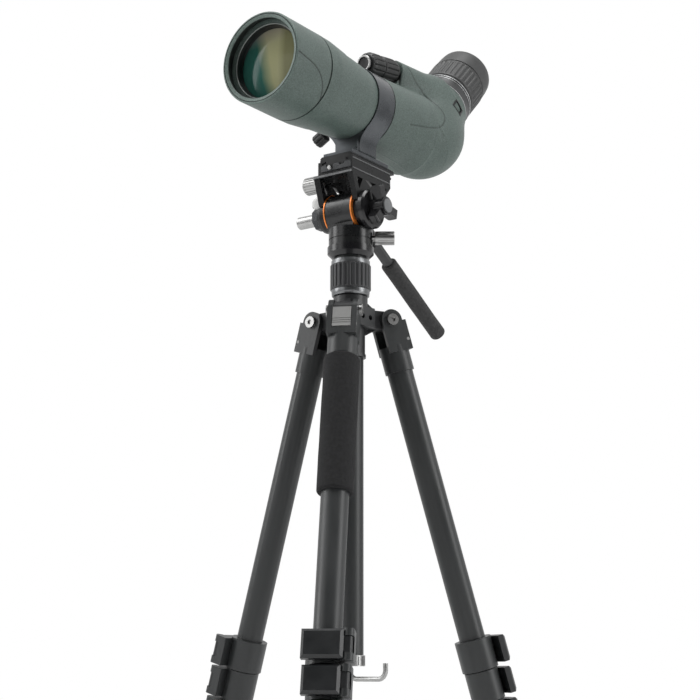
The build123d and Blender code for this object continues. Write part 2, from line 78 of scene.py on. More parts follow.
SCOPE = turned_about_x(Vector((AXIS_X, 0, AXIS_Z)), 90)
EYEPIECE = SCOPE @ turned_about_x(Vector((0, 0, -KNEE * MM)), EYE_TILT - 180)
FOCUS = SCOPE @ turned_about_x(Vector((0, WHEEL_UP * MM, -WHEEL_BACK * MM)), WHEEL_RISE)
COLUMN = Matrix.Translation((0, 0, HINGE_Z))
HANDLE = turned_about_x(spot(0, 40, 85.6), -120.8)


def leg_frame(number):
    turn = Matrix.Rotation(radians(LEG_AZIMUTHS[number - 1]), 4, "Z")
    return COLUMN @ turn @ turned_about_x(Vector((0, -HINGE_REACH * MM, 0)), -LEG_LEAN)


# ---- materials --------------------------------------------------------------------------------
def shader(name, rough, metallic=0.0, **sockets):
    """An empty principled material with its constant sockets set."""
    made = bpy.data.materials.new(name)
    made.use_nodes = True
    surface = made.node_tree.nodes["Principled BSDF"]
    surface.inputs["Roughness"].default_value = rough
    surface.inputs["Metallic"].default_value = metallic
    for socket, value in sockets.items():
        surface.inputs[socket.replace("_", " ")].default_value = value
    return made, surface


class Tree:
    """Short names for the nodes that the materials share."""

    def __init__(self, made, surface):
        self.nodes = made.node_tree.nodes
        self.links = made.node_tree.links
        self.surface = surface
        self.place = self.nodes.new("ShaderNodeTexCoord").outputs["Object"]

    def add(self, kind, **settings):
        node = self.nodes.new(kind)
        for key, value in settings.items():
            if key in node.inputs:
                node.inputs[key].default_value = value
            else:
                setattr(node, key, value)
        return node

    def noise(self, scale, detail=4.0, rough=0.55, stretch=None):
        node = self.add("ShaderNodeTexNoise", Scale=scale, Detail=detail, Roughness=rough)
        place = self.place
        if stretch:
            mapping = self.add("ShaderNodeMapping")
            mapping.inputs["Scale"].default_value = stretch
            self.links.new(place, mapping.inputs["Vector"])
            place = mapping.outputs["Vector"]
        self.links.new(place, node.inputs["Vector"])
        return node.outputs["Fac"]

    def span(self, value, low, high, start=0.3, end=0.7):
        node = self.add("ShaderNodeMapRange")
        node.inputs["From Min"].default_value = start
        node.inputs["From Max"].default_value = end
        node.inputs["To Min"].default_value = low
        node.inputs["To Max"].default_value = high
        self.links.new(value, node.inputs["Value"])
        return node.outputs["Result"]

    def math(self, operation, a, b):
        node = self.add("ShaderNodeMath", operation=operation)
        for slot, value in zip(node.inputs, (a, b)):
            if isinstance(value, (int, float)):
                slot.default_value = value
            else:
                self.links.new(value, slot)
        return node.outputs[0]

    def along(self, direction, origin):
        """Distance in metres along a direction from an origin."""
        shifted = self.add("ShaderNodeVectorMath", operation="SUBTRACT")
        self.links.new(self.place, shifted.inputs[0])
        shifted.inputs[1].default_value = origin
        dot = self.add("ShaderNodeVectorMath", operation="DOT_PRODUCT")
        self.links.new(shifted.outputs[0], dot.inputs[0])
        dot.inputs[1].default_value = direction
        return dot.outputs["Value"]

    def mix(self, value, low, high):
        node = self.add("ShaderNodeMix", data_type="RGBA")
        self.links.new(value, node.inputs["Factor"])
        for socket, colour in (("A", low), ("B", high)):
            target = [s for s in node.inputs if s.name == socket and s.type == "RGBA"][0]
            if isinstance(colour, tuple):
                target.default_value = (*colour, 1.0)
            else:
                self.links.new(colour, target)
        return [s for s in node.outputs if s.type == "RGBA"][0]

    def bump(self, value, strength, distance):
        node = self.add("ShaderNodeBump", Strength=strength, Distance=distance)
        self.links.new(value, node.inputs["Height"])
        self.links.new(node.outputs["Normal"], self.surface.inputs["Normal"])

    def into(self, value, socket):
        self.links.new(value, self.surface.inputs[socket])


def finish_of(name, low, high, rough, grain, grain_depth, metallic=0.0, spread=0.08, cloud=60.0,
              stretch=None, strength=0.35, **sockets):
    """A finish with clouded colour, uneven gloss and a fine grain."""
    made, surface = shader(name, rough, metallic, **sockets)
    tree = Tree(made, surface)
    cloud_value = tree.noise(cloud, 3.0, 0.5, stretch)
    tree.into(tree.mix(tree.span(cloud_value, 0.0, 1.0), low, high), "Base Color")
    tree.into(tree.span(cloud_value, rough - spread, rough + spread), "Roughness")
    tree.bump(tree.noise(grain, 2.0, 0.6, stretch), strength, grain_depth)
    return made


def zoned(name, direction, origin, zones, grain=500, grain_depth=0.000004, **sockets):
    """A finish whose colour, metal and gloss step along a direction.

    zones: (end in millimetres, colour, metallic, roughness), from the lowest up.
    """
    made, surface = shader(name, 0.4, 0.0, **sockets)
    tree = Tree(made, surface)
    place = tree.along(direction, origin)
    cloud = tree.span(tree.noise(90.0, 3.0), 0.9, 1.1)
    colour, metal, gloss = zones[0][1:]
    for before, zone in zip(zones, zones[1:]):
        past = tree.math("GREATER_THAN", place, before[0] * MM)
        colour = tree.mix(past, colour, zone[1])
        metal = tree.math("ADD", metal, tree.math("MULTIPLY", past, zone[2] - before[2]))
        gloss = tree.math("ADD", gloss, tree.math("MULTIPLY", past, zone[3] - before[3]))
    shade = tree.add("ShaderNodeVectorMath", operation="SCALE")
    tree.links.new(colour, shade.inputs[0])
    tree.links.new(cloud, shade.inputs["Scale"])
    tree.into(shade.outputs[0], "Base Color")
    tree.into(metal, "Metallic")
    tree.into(tree.math("MULTIPLY", gloss, cloud), "Roughness")
    tree.bump(tree.noise(grain, 2.0, 0.6), 0.3, grain_depth)
    return made


def armour_finish():
    """Grained rubber armour: a mesh's per-point weight paints shade into its creases, grooves and
    recesses, and paints light where it is negative.
    """
    made, surface = shader("armour", 0.5, 0.0, Specular_IOR_Level=0.42)
    tree = Tree(made, surface)
    cloud = tree.noise(45.0, 3.0)
    colour = tree.mix(tree.span(cloud, 0.0, 1.0), (0.064, 0.089, 0.079), (0.078, 0.105, 0.094))
    speckle = tree.span(tree.noise(750.0, 2.0, 0.7), 0.72, 1.34, 0.32, 0.68)
    painted_shading = tree.add("ShaderNodeAttribute", attribute_name="painted_shading").outputs["Fac"]
    shade = tree.add("ShaderNodeVectorMath", operation="SCALE")
    tree.links.new(colour, shade.inputs[0])
    darkest = 0.84
    # Painted shading: darker where the weight is positive, lighter where it is negative.
    painted_shading_factor = tree.math("SUBTRACT", 1.0, tree.math("MULTIPLY", painted_shading, darkest))
    tree.links.new(tree.math("MULTIPLY", speckle, painted_shading_factor), shade.inputs["Scale"])
    tree.into(shade.outputs[0], "Base Color")
    tree.into(tree.span(cloud, 0.44, 0.54), "Roughness")
    tree.bump(tree.noise(1100.0, 2.0, 0.65), 0.55, 0.0003)
    return made


ARMOUR = armour_finish()
BLACK = finish_of("matte_black", (0.006, 0.007, 0.007), (0.009, 0.010, 0.010), 0.5, 1600, 0.0001,
                  Specular_IOR_Level=0.3)
RUBBER = finish_of("ribbed_rubber", (0.013, 0.014, 0.014), (0.020, 0.021, 0.021), 0.5, 1500,
                   0.00012)
COLLAR = finish_of("satin_collar", (0.085, 0.091, 0.098), (0.105, 0.112, 0.119), 0.27, 1800,
                   0.00002, metallic=0.9, spread=0.03)
SATIN_BLACK = finish_of("satin_black", (0.008, 0.0085, 0.009), (0.012, 0.0125, 0.013), 0.27, 1500,
                        0.00004, spread=0.05, Specular_IOR_Level=0.45)
GLOSS_BLACK = finish_of("gloss_black", (0.005, 0.005, 0.006), (0.008, 0.008, 0.009), 0.26, 900,
                        0.00002, spread=0.03)
TUBE = finish_of("tube_black", (0.020, 0.022, 0.0225), (0.026, 0.028, 0.0285), 0.4, 900, 0.00003,
                 spread=0.04, stretch=(1.0, 1.0, 0.05))
CASTING = finish_of("cast_black", (0.014, 0.015, 0.016), (0.021, 0.022, 0.023), 0.4, 1700,
                    0.00012, spread=0.06)
HUB = finish_of("cast_grey", (0.019, 0.020, 0.021), (0.028, 0.029, 0.030), 0.42, 1700, 0.0001,
                spread=0.06)
SILVER = finish_of("turned_silver", (0.34, 0.34, 0.335), (0.42, 0.42, 0.415), 0.34, 300,
                   0.000004, metallic=1.0, spread=0.04)
ORANGE = finish_of("orange_anodised", (0.80, 0.19, 0.03), (0.92, 0.29, 0.05), 0.3, 400,
                   0.000004, metallic=0.4)
FOAM = finish_of("foam", (0.012, 0.012, 0.0125), (0.024, 0.024, 0.025), 0.9, 2600, 0.0005,
                 cloud=350, strength=0.7, Specular_IOR_Level=0.25)
HANDLE_FOAM = finish_of("handle_foam", (0.034, 0.034, 0.034), (0.056, 0.056, 0.056), 0.85, 2600,
                        0.0005, cloud=350, strength=0.7, Specular_IOR_Level=0.25)
CATCH = finish_of("catch_grey", (0.24, 0.24, 0.235), (0.29, 0.29, 0.285), 0.45, 1500, 0.00006)
LEVER = finish_of("lever_black", (0.011, 0.012, 0.013), (0.016, 0.017, 0.018), 0.36, 1300,
                  0.00008, spread=0.05)
GLASS = finish_of("coated_glass", (0.02, 0.05, 0.045), (0.05, 0.045, 0.03), 0.04, 300, 0.0,
                  spread=0.01, Coat_Weight=1.0)

BY_SLOT = {
    "armour": ARMOUR, "black_ring": BLACK, "lens_glass": GLASS, "collar_metal": COLLAR,
    "grip_rubber": RUBBER, "head_black": SATIN_BLACK, "silver_metal": SILVER,
    "orange_anodised": ORANGE, "tube_black": TUBE, "casting": CASTING, "foam": FOAM,
    "catch_grey": CATCH, "lever_black": LEVER,
}
SLOT_OF = {part["node"]: part["material_slot"] for part in frame["record"]["subparts"]}


def dress(node, material):
    NODES[node].data.materials.clear()
    NODES[node].data.materials.append(material)


for node_name, slot_name in SLOT_OF.items():
    dress(node_name, BY_SLOT[slot_name])


# ---- mesh tools -------------------------------------------------------------------------------
def piece(name, body, points, faces, material, node=None, slot=None, sharp=32.0, painted_shading_weights=None):
    """A named mesh that rides on a body, and stands for a CAD node where one is given."""
    mesh = bpy.data.meshes.new(name)
    mesh.from_pydata([tuple(p) for p in points], [], faces)
    # The weights become a per-point attribute that paints shade and light into the armour's colour.
    if painted_shading_weights is not None:
        attribute = mesh.attributes.new("painted_shading", "FLOAT", "POINT")
        attribute.data.foreach_set("value", np.asarray(painted_shading_weights, np.float32))
    work = bmesh.new()
    work.from_mesh(mesh)
    bmesh.ops.remove_doubles(work, verts=work.verts, dist=0.000005)
    bmesh.ops.dissolve_degenerate(work, edges=work.edges, dist=0.000002)
    bmesh.ops.recalc_face_normals(work, faces=work.faces)
    limit = radians(sharp)
    for face in work.faces:
        face.smooth = True
    for edge in work.edges:
        edge.smooth = len(edge.link_faces) == 2 and edge.calc_face_angle(0) < limit
    work.to_mesh(mesh)
    work.free()
    made = bpy.data.objects.new(name, mesh)
    made.data.materials.append(material)
    bpy.context.scene.collection.objects.link(made)
    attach(made, body)
    if node:
        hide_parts(node)
    return made


def lathe(profile, place, steps=192, ripple=None, closed=True):
    """Turns a profile of (radius, length) millimetres about a frame's Z."""
    turns = np.linspace(0, 2 * pi, steps, endpoint=False)
    rows = []
    for radius, length in profile:
        swell = ripple(turns, radius, length) if ripple else 0.0
        around = (radius + swell) * MM
        lengths = np.full(steps, length * MM)
        rows.append(np.stack([around * np.cos(turns), around * np.sin(turns), lengths], 1))
    flat = np.concatenate(rows)
    flat = flat @ np.array(place.to_3x3()).T + np.array(place.translation)
    faces = []
    count = len(profile)
    for row in range(count if closed else count - 1):
        below, above = row * steps, (row + 1) % count * steps
        for step in range(steps):
            after = (step + 1) % steps
            faces.append((below + step, below + after, above + after, above + step))
    return flat.tolist(), faces


def rounded(profile, radius, steps=3):
    """Rounds each corner of a closed profile, except where it meets the axis."""
    result = []
    count = len(profile)
    for index, corner in enumerate(profile):
        here = Vector((*corner, 0))
        before, after = (Vector((*profile[(index + k) % count], 0)) - here for k in (-1, 1))
        cut = min(radius, before.length * 0.45, after.length * 0.45)
        if corner[0] < 0.01 or cut < 0.02:
            result.append(corner)
            continue
        start, end = here + before.normalized() * cut, here + after.normalized() * cut
        for step in range(steps + 1):
            t = step / steps
            bend = start * (1 - t) ** 2 + here * 2 * t * (1 - t) + end * t * t
            result.append((bend.x, bend.y))
    return result


def turned_piece(name, body, profile, place, material, steps=192, edge=0.4, **settings):
    points, faces = lathe(rounded(profile, edge), place, steps)
    piece(name, body, points, faces, material, **settings)


def prism_points(outline, low, high, place):
    """A flat outline of (a, b) millimetres swept from low to high along a frame's Z."""
    bottom = [place @ Vector((a * MM, b * MM, low * MM)) for a, b in outline]
    top = [place @ Vector((a * MM, b * MM, high * MM)) for a, b in outline]
    count = len(outline)
    faces = [tuple(range(count))[::-1], tuple(range(count, 2 * count))]
    faces += [(i, (i + 1) % count, count + (i + 1) % count, count + i) for i in range(count)]
    return bottom + top, faces


def join(*solids):
    points, faces = [], []
    for some_points, some_faces in solids:
        shift = len(points)
        points += list(some_points)
        faces += [tuple(i + shift for i in face) for face in some_faces]
    return points, faces


def bevel_edges(made, width):
    """Rounds the sharp edges of a piece, in its own mesh."""
    modifier = made.modifiers.new("edge", "BEVEL")
    modifier.width = width * MM
    modifier.segments = 2
    modifier.limit_method = "ANGLE"
    modifier.angle_limit = radians(30)
    modifier.harden_normals = False
    bpy.context.view_layer.update()
    solid = made.evaluated_get(bpy.context.evaluated_depsgraph_get())
    mesh = bpy.data.meshes.new_from_object(solid)
    old = made.data
    made.modifiers.clear()
    made.data = mesh
    bpy.data.meshes.remove(old)


# ---- prism housing: one smooth armoured shell -------------------------------------------------
# Millimetres in the telescope's own frame: x across, y back, z up from the optical axis.
EYE_DIR = np.array((0.0, cos(radians(EYE_TILT)), sin(radians(EYE_TILT))))
KNEE_POINT = np.array((0, KNEE, 0.0))
PORT_END = 64.4                       # the eyepiece port, measured from the knee
PORT_RADIUS = 33.4
HOUSING_FRONT = 23.3
BULB_BACK, BULB_UP = 131.57, 2.18     # centre of the rounded body over the prism
BULB_LEAN = 0.48                      # radians that it rises towards the rear
BULB_HALF = (40.28, 56.75, 40.73)
SLEEVE_RADIUS, SLEEVE_SPREAD = 38.0, 3.52
SLEEVE_FRONT, SLEEVE_RUN, SLEEVE_END = 22, 68, 95
HUMP_FRONT, HUMP_RUN, HUMP_END = 75, 55, 135      # the ridge behind the focus wheels
HUMP_UP, HUMP_FALL = 59.7, 5.52
HUMP_RADIUS, HUMP_SPREAD = 12.6, 7.98
POCKET_RADIUS, POCKET_END = 13.6, 52.4
CREASE = (
    (13, 84, 66), (15, 93, 55), (20, 107, 41), (28, 113, 32), (37, 117, 15), (39, 105, 0),
    (40, 80, -8), (37, 51, -13),
)
CREASE_DEPTH, CREASE_WIDTH = 0.6, 0.8
SEAM_HALF, SEAM_WIDTH, SEAM_HEIGHT = 4.6, 0.7, 0.4      # two raised lines under the housing
SEAM_END = 104.0
BUTTON_ALONG, BUTTON_ACROSS = 49.5, -2.0                # along the port, and around it
BUTTON_FLOOR = 30.8
WINDOW_EDGE = 0.9                                       # how softly the recess begins


def blend_min(a, b, width):
    """The smaller of two distances, with the change between them rounded over a width."""
    h = np.clip(0.5 + 0.5 * (b - a) / width, 0, 1)
    return b * (1 - h) + a * h - width * h * (1 - h)


def housing_distance(p):
    """Distance to the housing's skin: a bulb, a sleeve, the eyepiece port and a hump, blended."""
    x, y, z = p[..., 0], p[..., 1], p[..., 2]
    back, up = y - BULB_BACK, z - BULB_UP
    u = back * cos(BULB_LEAN) + up * sin(BULB_LEAN)
    v = -back * sin(BULB_LEAN) + up * cos(BULB_LEAN)
    a, b, c = BULB_HALF
    scaled = np.sqrt((x / a) ** 2 + (u / b) ** 2 + (v / c) ** 2)
    slope = np.sqrt((x / a**2) ** 2 + (u / b**2) ** 2 + (v / c**2) ** 2) + 1e-9
    bulb = scaled * (scaled - 1) / slope
    part = np.clip((y - SLEEVE_FRONT) / SLEEVE_RUN, 0, 1)
    sleeve = np.maximum(np.hypot(x, z) - (SLEEVE_RADIUS + SLEEVE_SPREAD * part), y - SLEEVE_END)
    back = y - KNEE
    along = back * EYE_DIR[1] + z * EYE_DIR[2]
    away = np.sqrt(x**2 + (back - along * EYE_DIR[1]) ** 2 + (z - along * EYE_DIR[2]) ** 2)
    port = np.maximum(away - PORT_RADIUS, -along)
    skin = blend_min(blend_min(bulb, sleeve, 18), port, 12)
    part = np.clip((y - HUMP_FRONT) / HUMP_RUN, 0, 1)
    hump = np.hypot(x, z - (HUMP_UP - HUMP_FALL * part)) - (HUMP_RADIUS + HUMP_SPREAD * part)
    ends = np.maximum(HUMP_FRONT - y, y - HUMP_END)
    return blend_min(skin, np.maximum(hump, ends), 18)


def wheel_pocket(p):
    """Distance to the pocket that the focus wheels turn in."""
    rise = radians(WHEEL_RISE)
    y, z = p[..., 1] - WHEEL_BACK, p[..., 2] - WHEEL_UP
    along = y * cos(rise) + z * sin(rise)
    away = np.hypot(p[..., 0], z * cos(rise) - y * sin(rise))
    return np.maximum(away - POCKET_RADIUS, along - POCKET_END)


def smooth_line(points, per=24):
    """A Catmull-Rom line through points."""
    p = np.array([points[0], *points, points[-1]], float)
    out = []
    for i in range(1, len(p) - 2):
        for t in np.linspace(0, 1, per, endpoint=False):
            a, b, c, d = p[i - 1], p[i], p[i + 1], p[i + 2]
            square = 2 * a - 5 * b + 4 * c - d
            cube = 3 * b - a - 3 * c + d
            out.append(0.5 * (2 * b + (c - a) * t + square * t**2 + cube * t**3))
    return np.array(out + [p[-2]])


def distance_to_line(p, line, batch=40):
    """Distance from each place to the nearest point of a line, a batch of points at a time."""
    best = np.full(len(p), 1e9)
    for start in range(0, len(line), batch):
        part = line[start:start + batch]
        best = np.minimum(best, np.sqrt(((p[:, None, :] - part[None]) ** 2).sum(2)).min(1))
    return best


def skin_normal(p):
    """Outward unit normals of the housing's skin."""
    steps = np.eye(3) * 0.05
    gradient = np.stack([housing_distance(p + s) - housing_distance(p - s) for s in steps], 1)
    return gradient / (np.linalg.norm(gradient, axis=1)[:, None] + 1e-9)


def on_skin(line):
    """Moves a line's points onto the housing's skin."""
    for _ in range(8):
        line = line - skin_normal(line) * housing_distance(line)[:, None]
    return line


def skin_reach(side, height):
    """How far out in x the skin lies at a place on the eyepiece port."""
    low, high = 20.0, 48.0
    y = KNEE + height * EYE_DIR[1] + side * EYE_DIR[2]
    z = height * EYE_DIR[2] - side * EYE_DIR[1]
    for _ in range(24):
        middle = (low + high) / 2
        if housing_distance(np.array((middle, y, z))) < 0:
            low = middle
        else:
            high = middle
    return low


def housing_rows(rings, steps):
    """Points on the housing's skin, in rings around a curve from its front to the port's end."""
    start = np.array((0, HOUSING_FRONT, 0.0))
    end = KNEE_POINT + EYE_DIR * PORT_END
    us = np.linspace(0, 1, rings)[:, None]
    turns = np.linspace(0, 2 * pi, steps, endpoint=False)[None, :, None]
    centres = (1 - us) ** 2 * start + 2 * us * (1 - us) * KNEE_POINT + us**2 * end
    heading = (1 - us) * (KNEE_POINT - start) + us * (end - KNEE_POINT)
    heading /= np.linalg.norm(heading, axis=1)[:, None]
    up = np.stack([np.zeros(rings), -heading[:, 2], heading[:, 1]], 1)
    rays = np.cos(turns) * np.array((1.0, 0, 0)) + np.sin(turns) * up[:, None, :]
    low = np.zeros((rings, steps))
    high = np.full((rings, steps), 95.0)
    for _ in range(26):
        mid = (low + high) / 2
        inside = housing_distance(centres[:, None, :] + rays * mid[..., None]) < 0
        low, high = np.where(inside, mid, low), np.where(inside, high, mid)
    return centres[:, None, :] + rays * mid[..., None]


def carved(flat):
    """The skin's points with creases, seams and the button's recess, and a weight of painted shade
    for the creases, the recess and the wheels' pocket.
    """
    mirrored = flat.copy()
    mirrored[:, 0] = np.abs(flat[:, 0])
    near = distance_to_line(mirrored, on_skin(smooth_line(CREASE)))
    sink = CREASE_DEPTH * np.exp(-((near / CREASE_WIDTH) ** 2))
    # Painted shade along the creases.
    painted_shading_weights = 0.75 * np.exp(-((near / 0.75) ** 2))
    seam = np.exp(-(((mirrored[:, 0] - SEAM_HALF) / SEAM_WIDTH) ** 2)) * (flat[:, 2] < -20)
    sink -= SEAM_HEIGHT * seam * np.clip((SEAM_END - flat[:, 1]) / 12, 0, 1)
    back = flat - KNEE_POINT
    along = back @ EYE_DIR
    across = back[:, 2] * EYE_DIR[1] - back[:, 1] * EYE_DIR[2]
    window = np.maximum(np.abs(along - BUTTON_ALONG) - 6.0, np.abs(across + BUTTON_ACROSS) - 7.0)
    near_side = flat[:, 0] > 20
    depth = np.hypot(flat[:, 0], across) - BUTTON_FLOOR
    sink += depth * np.clip(-window / WINDOW_EDGE + 0.4, 0, 1) * near_side
    # Painted shade in the button's recess and in the focus wheels' pocket.
    painted_shading_weights = np.maximum(painted_shading_weights, np.clip(-window / WINDOW_EDGE + 0.9, 0, 1) * near_side)
    painted_shading_weights = np.maximum(painted_shading_weights, np.clip((wheel_pocket(flat) - 0.8) / -0.8, 0, 1))
    return flat - skin_normal(flat) * sink[:, None], painted_shading_weights


def clear_wheel_pocket(flat):
    """Moves the points that lie in the focus wheels' pocket out to its wall or its rear end."""
    rise = radians(WHEEL_RISE)
    for _ in range(3):
        depth = wheel_pocket(flat)
        y, z = flat[:, 1] - WHEEL_BACK, flat[:, 2] - WHEEL_UP
        offset = z * cos(rise) - y * sin(rise)
        away = np.hypot(flat[:, 0], offset) + 1e-6
        ahead = y * cos(rise) + z * sin(rise)
        outward = POCKET_RADIUS - away
        rear = POCKET_END - ahead
        use_side = (depth < 0) & (outward < rear)
        use_rear = (depth < 0) & ~use_side
        flat[:, 0] += use_side * flat[:, 0] / away * outward
        shift = use_side * offset / away * outward
        flat[:, 1] += -shift * sin(rise) + use_rear * rear * cos(rise)
        flat[:, 2] += shift * cos(rise) + use_rear * rear * sin(rise)


def housing(rings=270, steps=380):
    """The armoured shell, with its rolled-in front and rear lips."""
    flat, painted_shading_weights = carved(housing_rows(rings, steps).reshape(-1, 3))
    clear_wheel_pocket(flat)
    rows = flat.reshape(rings, steps, 3)
    painted_shading_weights = painted_shading_weights.reshape(rings, steps)

    def shrunk(ring, centre, ratio, shift):
        return centre + (ring - centre) * ratio + shift

    front_centre = np.array((0, HOUSING_FRONT, 0.0))
    rear_centre = KNEE_POINT + EYE_DIR * PORT_END
    before = [shrunk(rows[0], front_centre, r, np.array((0, s, 0.0))) for r, s in
              ((0.925, 6.0), (0.925, -0.2), (0.94, -0.45), (0.985, -0.45), (0.996, -0.25))]
    after = [shrunk(rows[-1], rear_centre, r, EYE_DIR * s) for r, s in
             ((0.997, 0.35), (0.985, 0.5), (0.965, 0.5), (0.957, 0.2), (0.955, -4.0))]
    rows = np.concatenate([before, rows, after])
    # Painted shade on the rolled-in front and rear lips.
    front_lip_painted_shade, rear_lip_painted_shade = np.ones((len(before), steps)), np.full((len(after), steps), 0.8)
    painted_shading_weights = np.concatenate([front_lip_painted_shade, painted_shading_weights, rear_lip_painted_shade])
    total = len(rows)
    world = rows.reshape(-1, 3) * MM + np.array((AXIS_X, 0, AXIS_Z))
    faces = []
    for row in range(total - 1):
        for step in range(steps):
            a, b = row * steps + step, row * steps + (step + 1) % steps
            faces.append((a, b, b + steps, a + steps))
    made = piece("housing_armour", "telescope", world.tolist(), faces, ARMOUR,
                 node="prism_housing", sharp=50, painted_shading_weights=painted_shading_weights.ravel())
    modifier = made.modifiers.new("wall", "SOLIDIFY")
    modifier.thickness = 0.6 * MM
    modifier.offset = -1


housing()


# ---- foam grips -------------------------------------------------------------------------------
def foam_sleeve(name, body, node, place, low, high, radius, bore, wander, material):
    """A foam sleeve with soft ends and a hand-worn, slightly uneven skin."""
    soft = 2.2
    length = high - low
    quarter = [step / 8 * pi / 2 for step in range(9)]
    rows = [(bore, low), (bore + 0.8, low)]
    rows += [(radius - soft + soft * sin(a), low + soft - soft * cos(a)) for a in quarter]
    count = max(12, int(length / 2.5))
    rows += [(radius, low + soft + (length - 2 * soft) * i / count) for i in range(1, count)]
    rows += [(radius - soft + soft * cos(a), high - soft + soft * sin(a)) for a in quarter]
    rows += [(bore + 0.8, high), (bore, high)]

    def uneven(turns, r, along):
        if r < bore + 1.5:
            return np.zeros_like(turns)
        wave = np.sin(2 * turns + along * 0.11) + np.sin(3 * turns - along * 0.07 + 1.3)
        wave += 0.6 * np.sin(5 * turns + along * 0.23 + 0.4)
        return wander * wave

    points, faces = lathe(rows, place, 128, uneven)
    made = piece(name, body, points, faces, material, node=node, sharp=60)


foam_sleeve("leg_foam_sleeve", "leg1", "leg_foam_grip", leg_frame(1),
            -185.0, -50.8, 16.75, 12.6, 0.07, FOAM)
foam_sleeve("handle_foam_sleeve", "pan", "handle_grip", HANDLE,
            29.5, 139.0, 8.2, 4.1, 0.05, HANDLE_FOAM)


# ---- finishes of the machined and cast CAD pieces ---------------------------------------------
def x_zones(name, zones):
    """A finish that steps along x."""
    return zoned(name, (1, 0, 0), (0, 0, 0), zones)


def axial_zones(name, place, zones):
    """A finish that steps along a frame's Z."""
    return zoned(name, tuple(place.to_3x3() @ Vector((0, 0, 1))), tuple(place.translation), zones)


DARK = (0.016, 0.017, 0.018)
GREY = (0.20, 0.205, 0.21)
STEEL = (0.38, 0.38, 0.375)
PAINT = (0.010, 0.010, 0.011)
AXLE = x_zones("axle_zones", (
    (-39.1, STEEL, 1.0, 0.28), (-32.9, (0.045, 0.047, 0.05), 0.6, 0.35),
    (-25.0, (0.028, 0.029, 0.03), 0.3, 0.35), (100, PAINT, 0.0, 0.2),
))
KNOB = x_zones("knob_zones", ((43.05, PAINT, 0.0, 0.18), (100, (0.17, 0.175, 0.18), 0.3, 0.35)))
CLAMP_KNOB = x_zones("clamp_knob_zones", (
    (-41.0, (0.40, 0.40, 0.395), 0.9, 0.38), (-33.5, (0.10, 0.10, 0.105), 0.6, 0.35),
    (100, STEEL, 1.0, 0.3),
))
PLATE = finish_of("plate_black", (0.006, 0.0065, 0.007), (0.010, 0.0105, 0.011), 0.3, 1500,
                  0.00003, spread=0.05, Specular_IOR_Level=0.32)
CRADLE = finish_of("cradle_black", (0.006, 0.0065, 0.007), (0.009, 0.0095, 0.010), 0.28, 1500,
                   0.00004, spread=0.06, Specular_IOR_Level=0.28)

DRESSED = (
    ("tilt_cradle", CRADLE), ("clamp_jaw", CRADLE), ("tilt_lock_knob", KNOB),
    ("tilt_axle", AXLE), ("clamp_knob", CLAMP_KNOB), ("handle_rod", HUB), ("spider", HUB),
    ("pan_base", GLOSS_BLACK), ("head_body", SATIN_BLACK), ("ballast_hook", SILVER),
)
for node_name, material in DRESSED:
    dress(node_name, material)


# ---- lens hood --------------------------------------------------------------------------------
HOOD_RADIUS = 44.0
HOOD_REAR, HOOD_LENGTH = 92.8, 50.2
HOOD_CREASE = ((-0.09, 143), (-0.11, 137), (-0.22, 115), (-0.46, 101), (-0.88, 91))


def hood():
    """The hood's armour: its creases are (angle in radians, length) and run down both sides."""
    profile = [(40.7, 92.2), (41.2, 91.3), (42.6, 91.3), (43.4, 91.8), (HOOD_RADIUS, HOOD_REAR)]
    profile += [(HOOD_RADIUS, HOOD_REAR + HOOD_LENGTH * i / 90) for i in range(1, 91)]
    profile += [
        (43.7, 143.9), (43.1, 144.3), (42.4, 144.3), (42.2, 143.6), (41.7, 143.6), (41.5, 144.2),
        (40.0, 143.8), (38.7, 143.2), (38.3, 142.8), (38.2, 142.2), (38.2, 141.6), (39.6, 140.9),
        (40.7, 140.5),
    ]
    points, faces = lathe(profile, Matrix.Identity(4), 520)
    flat = np.array(points) / MM
    angle = np.arctan2(flat[:, 1], flat[:, 0])
    radius = np.hypot(flat[:, 0], flat[:, 1])
    length = flat[:, 2]
    outer = (radius > HOOD_RADIUS - 0.1) & (length < 143.1)
    rim_groove = (radius < 42.25) & (radius > 41.65) & (length > 142) & (length < 143.9)
    mouth = (radius < 38.4) & (length > 130)
    inside = (radius < 40.9) & (length < 142.5)
    # Painted shade in the rim groove, the mouth, the inner wall and the rear seam.
    painted_shading_weights = (rim_groove | mouth | inside | (length < HOOD_REAR + 0.1)).astype(float)
    # Painted light: the front rim gets a negative weight, which lightens it.
    painted_light_rim = (length > 143.0) & (painted_shading_weights < 0.5)
    painted_shading_weights -= 0.65 * painted_light_rim
    line = smooth_line([(a, s, 0) for a, s in HOOD_CREASE], 30)
    for side in (1, -1):
        turned = np.where(side > 0, angle, pi - angle)
        turned = (turned + pi / 2) % (2 * pi) - pi / 2
        place = np.stack([turned * HOOD_RADIUS, length, np.zeros(len(flat))], 1)
        path = line * np.array((HOOD_RADIUS, 1.0, 0.0))
        near = distance_to_line(place, path)
        sink = CREASE_DEPTH * np.exp(-((near / 0.65) ** 2)) * outer
        # Painted shade along the creases, except on the rim.
        painted_shading_weights = np.where(painted_light_rim, painted_shading_weights, np.maximum(painted_shading_weights, np.exp(-((near / 0.7) ** 2)) * outer))
        flat[:, 0] -= np.cos(angle) * sink
        flat[:, 1] -= np.sin(angle) * sink
    world = flat * MM @ np.array(SCOPE.to_3x3()).T + np.array(SCOPE.translation)
    piece("hood_armour", "hood", world.tolist(), faces, ARMOUR, node="lens_hood", sharp=50,
          painted_shading_weights=painted_shading_weights)


hood()


